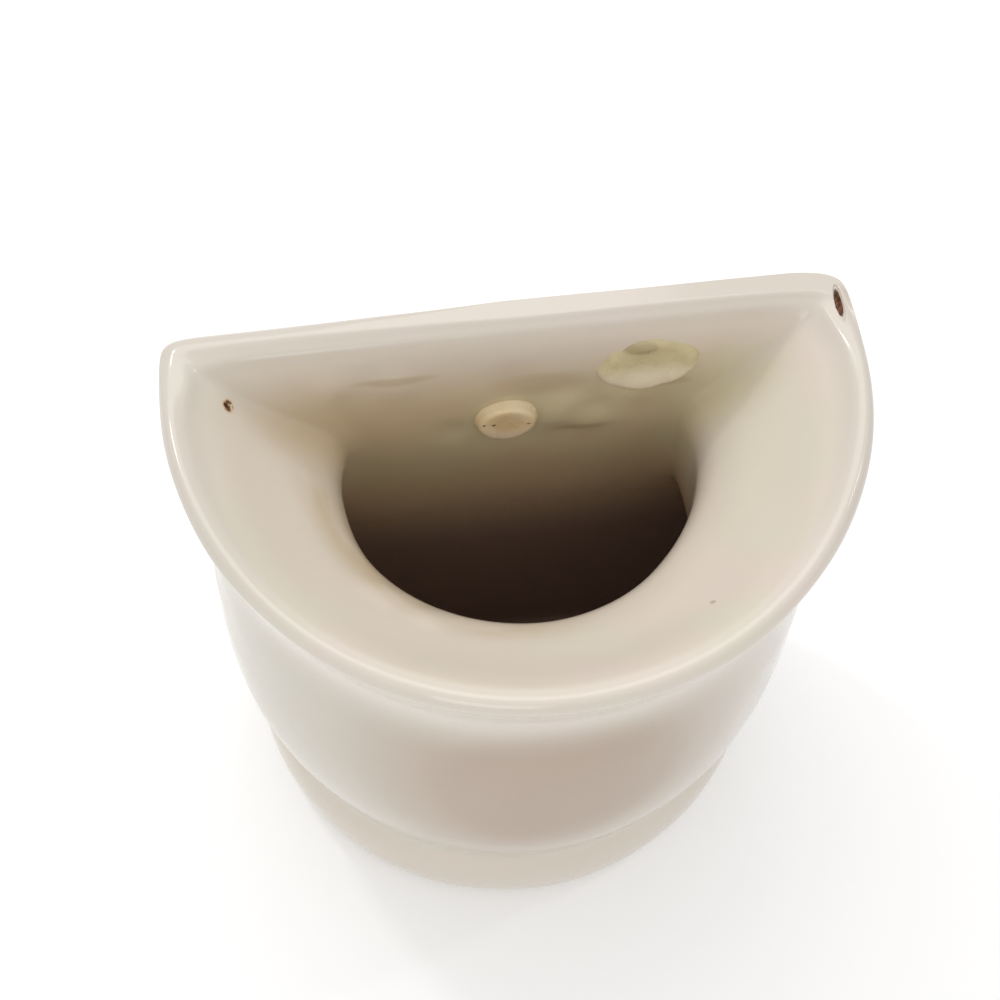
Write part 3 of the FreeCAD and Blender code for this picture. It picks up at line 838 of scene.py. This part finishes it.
# %% [markdown]
# ## Camera, floor and light
#
# The camera looks down into the pot. Soft daylight comes from above and behind, so that the funnel is lit
# and the front of the bowl is in soft shade. A weak lamp fills the front, and two small lamps leave the short
# bright streaks on the lip. The world is white for the camera and dimmer for every other ray. The floor glows
# a little for the camera and in reflections, so that it looks white and still keeps the pot's shadow.

# %% Camera
YAW, ELEVATION, ROLL = (math.radians(a) for a in (10.7, 59.4, 3.0))
DISTANCE, TARGET = 0.4058, Vector((-5.0, -30.7, -4.0)) * MM
LENS = 59.1
camera_data = bpy.data.cameras.new("camera")
camera_data.sensor_width = 36
camera_data.lens = LENS
camera = bpy.data.objects.new("camera", camera_data)
bpy.context.scene.collection.objects.link(camera)
bpy.context.scene.camera = camera
back = Vector((-math.sin(YAW) * math.cos(ELEVATION), -math.cos(YAW) * math.cos(ELEVATION),
               math.sin(ELEVATION)))
camera.location = TARGET + back * DISTANCE
camera.rotation_mode = "QUATERNION"
camera.rotation_quaternion = (-back).to_track_quat("-Z", "Y") @ Quaternion((0, 0, 1), ROLL)

# %% Floor and world
FLOOR_SIZE, FLOOR_GLOW, SKY_STRENGTH = 6, 0.25, 0.66
bpy.ops.object.select_all(action="DESELECT")
bpy.ops.mesh.primitive_plane_add(size=FLOOR_SIZE, location=(0, 0, BASE_LEVEL * MM))
floor = bpy.context.object
floor.name = "floor"
paint = Finish("pale_floor")
paint.shader.inputs["Base Color"].default_value = colour(0.84, 0.84, 0.84)
paint.shader.inputs["Roughness"].default_value = 0.9
ray = paint.nodes.new("ShaderNodeLightPath").outputs
seen = paint.maths("MAXIMUM", ray["Is Camera Ray"], paint.maths("MAXIMUM", ray["Is Glossy Ray"],
                                                               ray["Is Transmission Ray"]))
paint.shader.inputs["Emission Color"].default_value = colour(1, 1, 1)
paint.feed(paint.times(seen, FLOOR_GLOW), paint.shader.inputs["Emission Strength"])
floor.data.materials.append(paint.material)

world = bpy.data.worlds.new("studio")
bpy.context.scene.world = world
world.use_nodes = True
nodes, links = world.node_tree.nodes, world.node_tree.links
sky = nodes["Background"]
sky.inputs["Color"].default_value = colour(1, 1, 1)
sky.inputs["Strength"].default_value = SKY_STRENGTH
white = nodes.new("ShaderNodeBackground")
white.inputs["Color"].default_value = colour(1, 1, 1)
path = nodes.new("ShaderNodeLightPath")
choice = nodes.new("ShaderNodeMixShader")
links.new(path.outputs["Is Camera Ray"], choice.inputs[0])
links.new(sky.outputs[0], choice.inputs[1])
links.new(white.outputs[0], choice.inputs[2])
links.new(choice.outputs[0], nodes["World Output"].inputs["Surface"])


# %% Lamps
POT_MIDDLE = Vector((0, -0.05, 0))


def soft_lamp(name, place, size, power):
    """A square lamp that faces the pot; place and size in metres, power in watts."""
    data = bpy.data.lights.new(name, "AREA")
    data.shape = "SQUARE"
    data.size = size
    data.energy = power
    lamp = bpy.data.objects.new(name, data)
    bpy.context.scene.collection.objects.link(lamp)
    lamp.location = Vector(place)
    lamp.rotation_mode = "QUATERNION"
    lamp.rotation_quaternion = (POT_MIDDLE - Vector(place)).to_track_quat("-Z", "Y")


soft_lamp("daylight", (-0.15, 0.50, 1.25), 1.1, 6.5)
soft_lamp("front_fill", (-0.25, -1.10, 0.35), 0.5, 1.6)
soft_lamp("left_lamp", (-0.46, 0.52, 0.98), 0.10, 1.5)
soft_lamp("right_lamp", (0.86, 0.10, 0.96), 0.08, 0.8)
bpy.context.scene.view_settings.view_transform = "Standard"
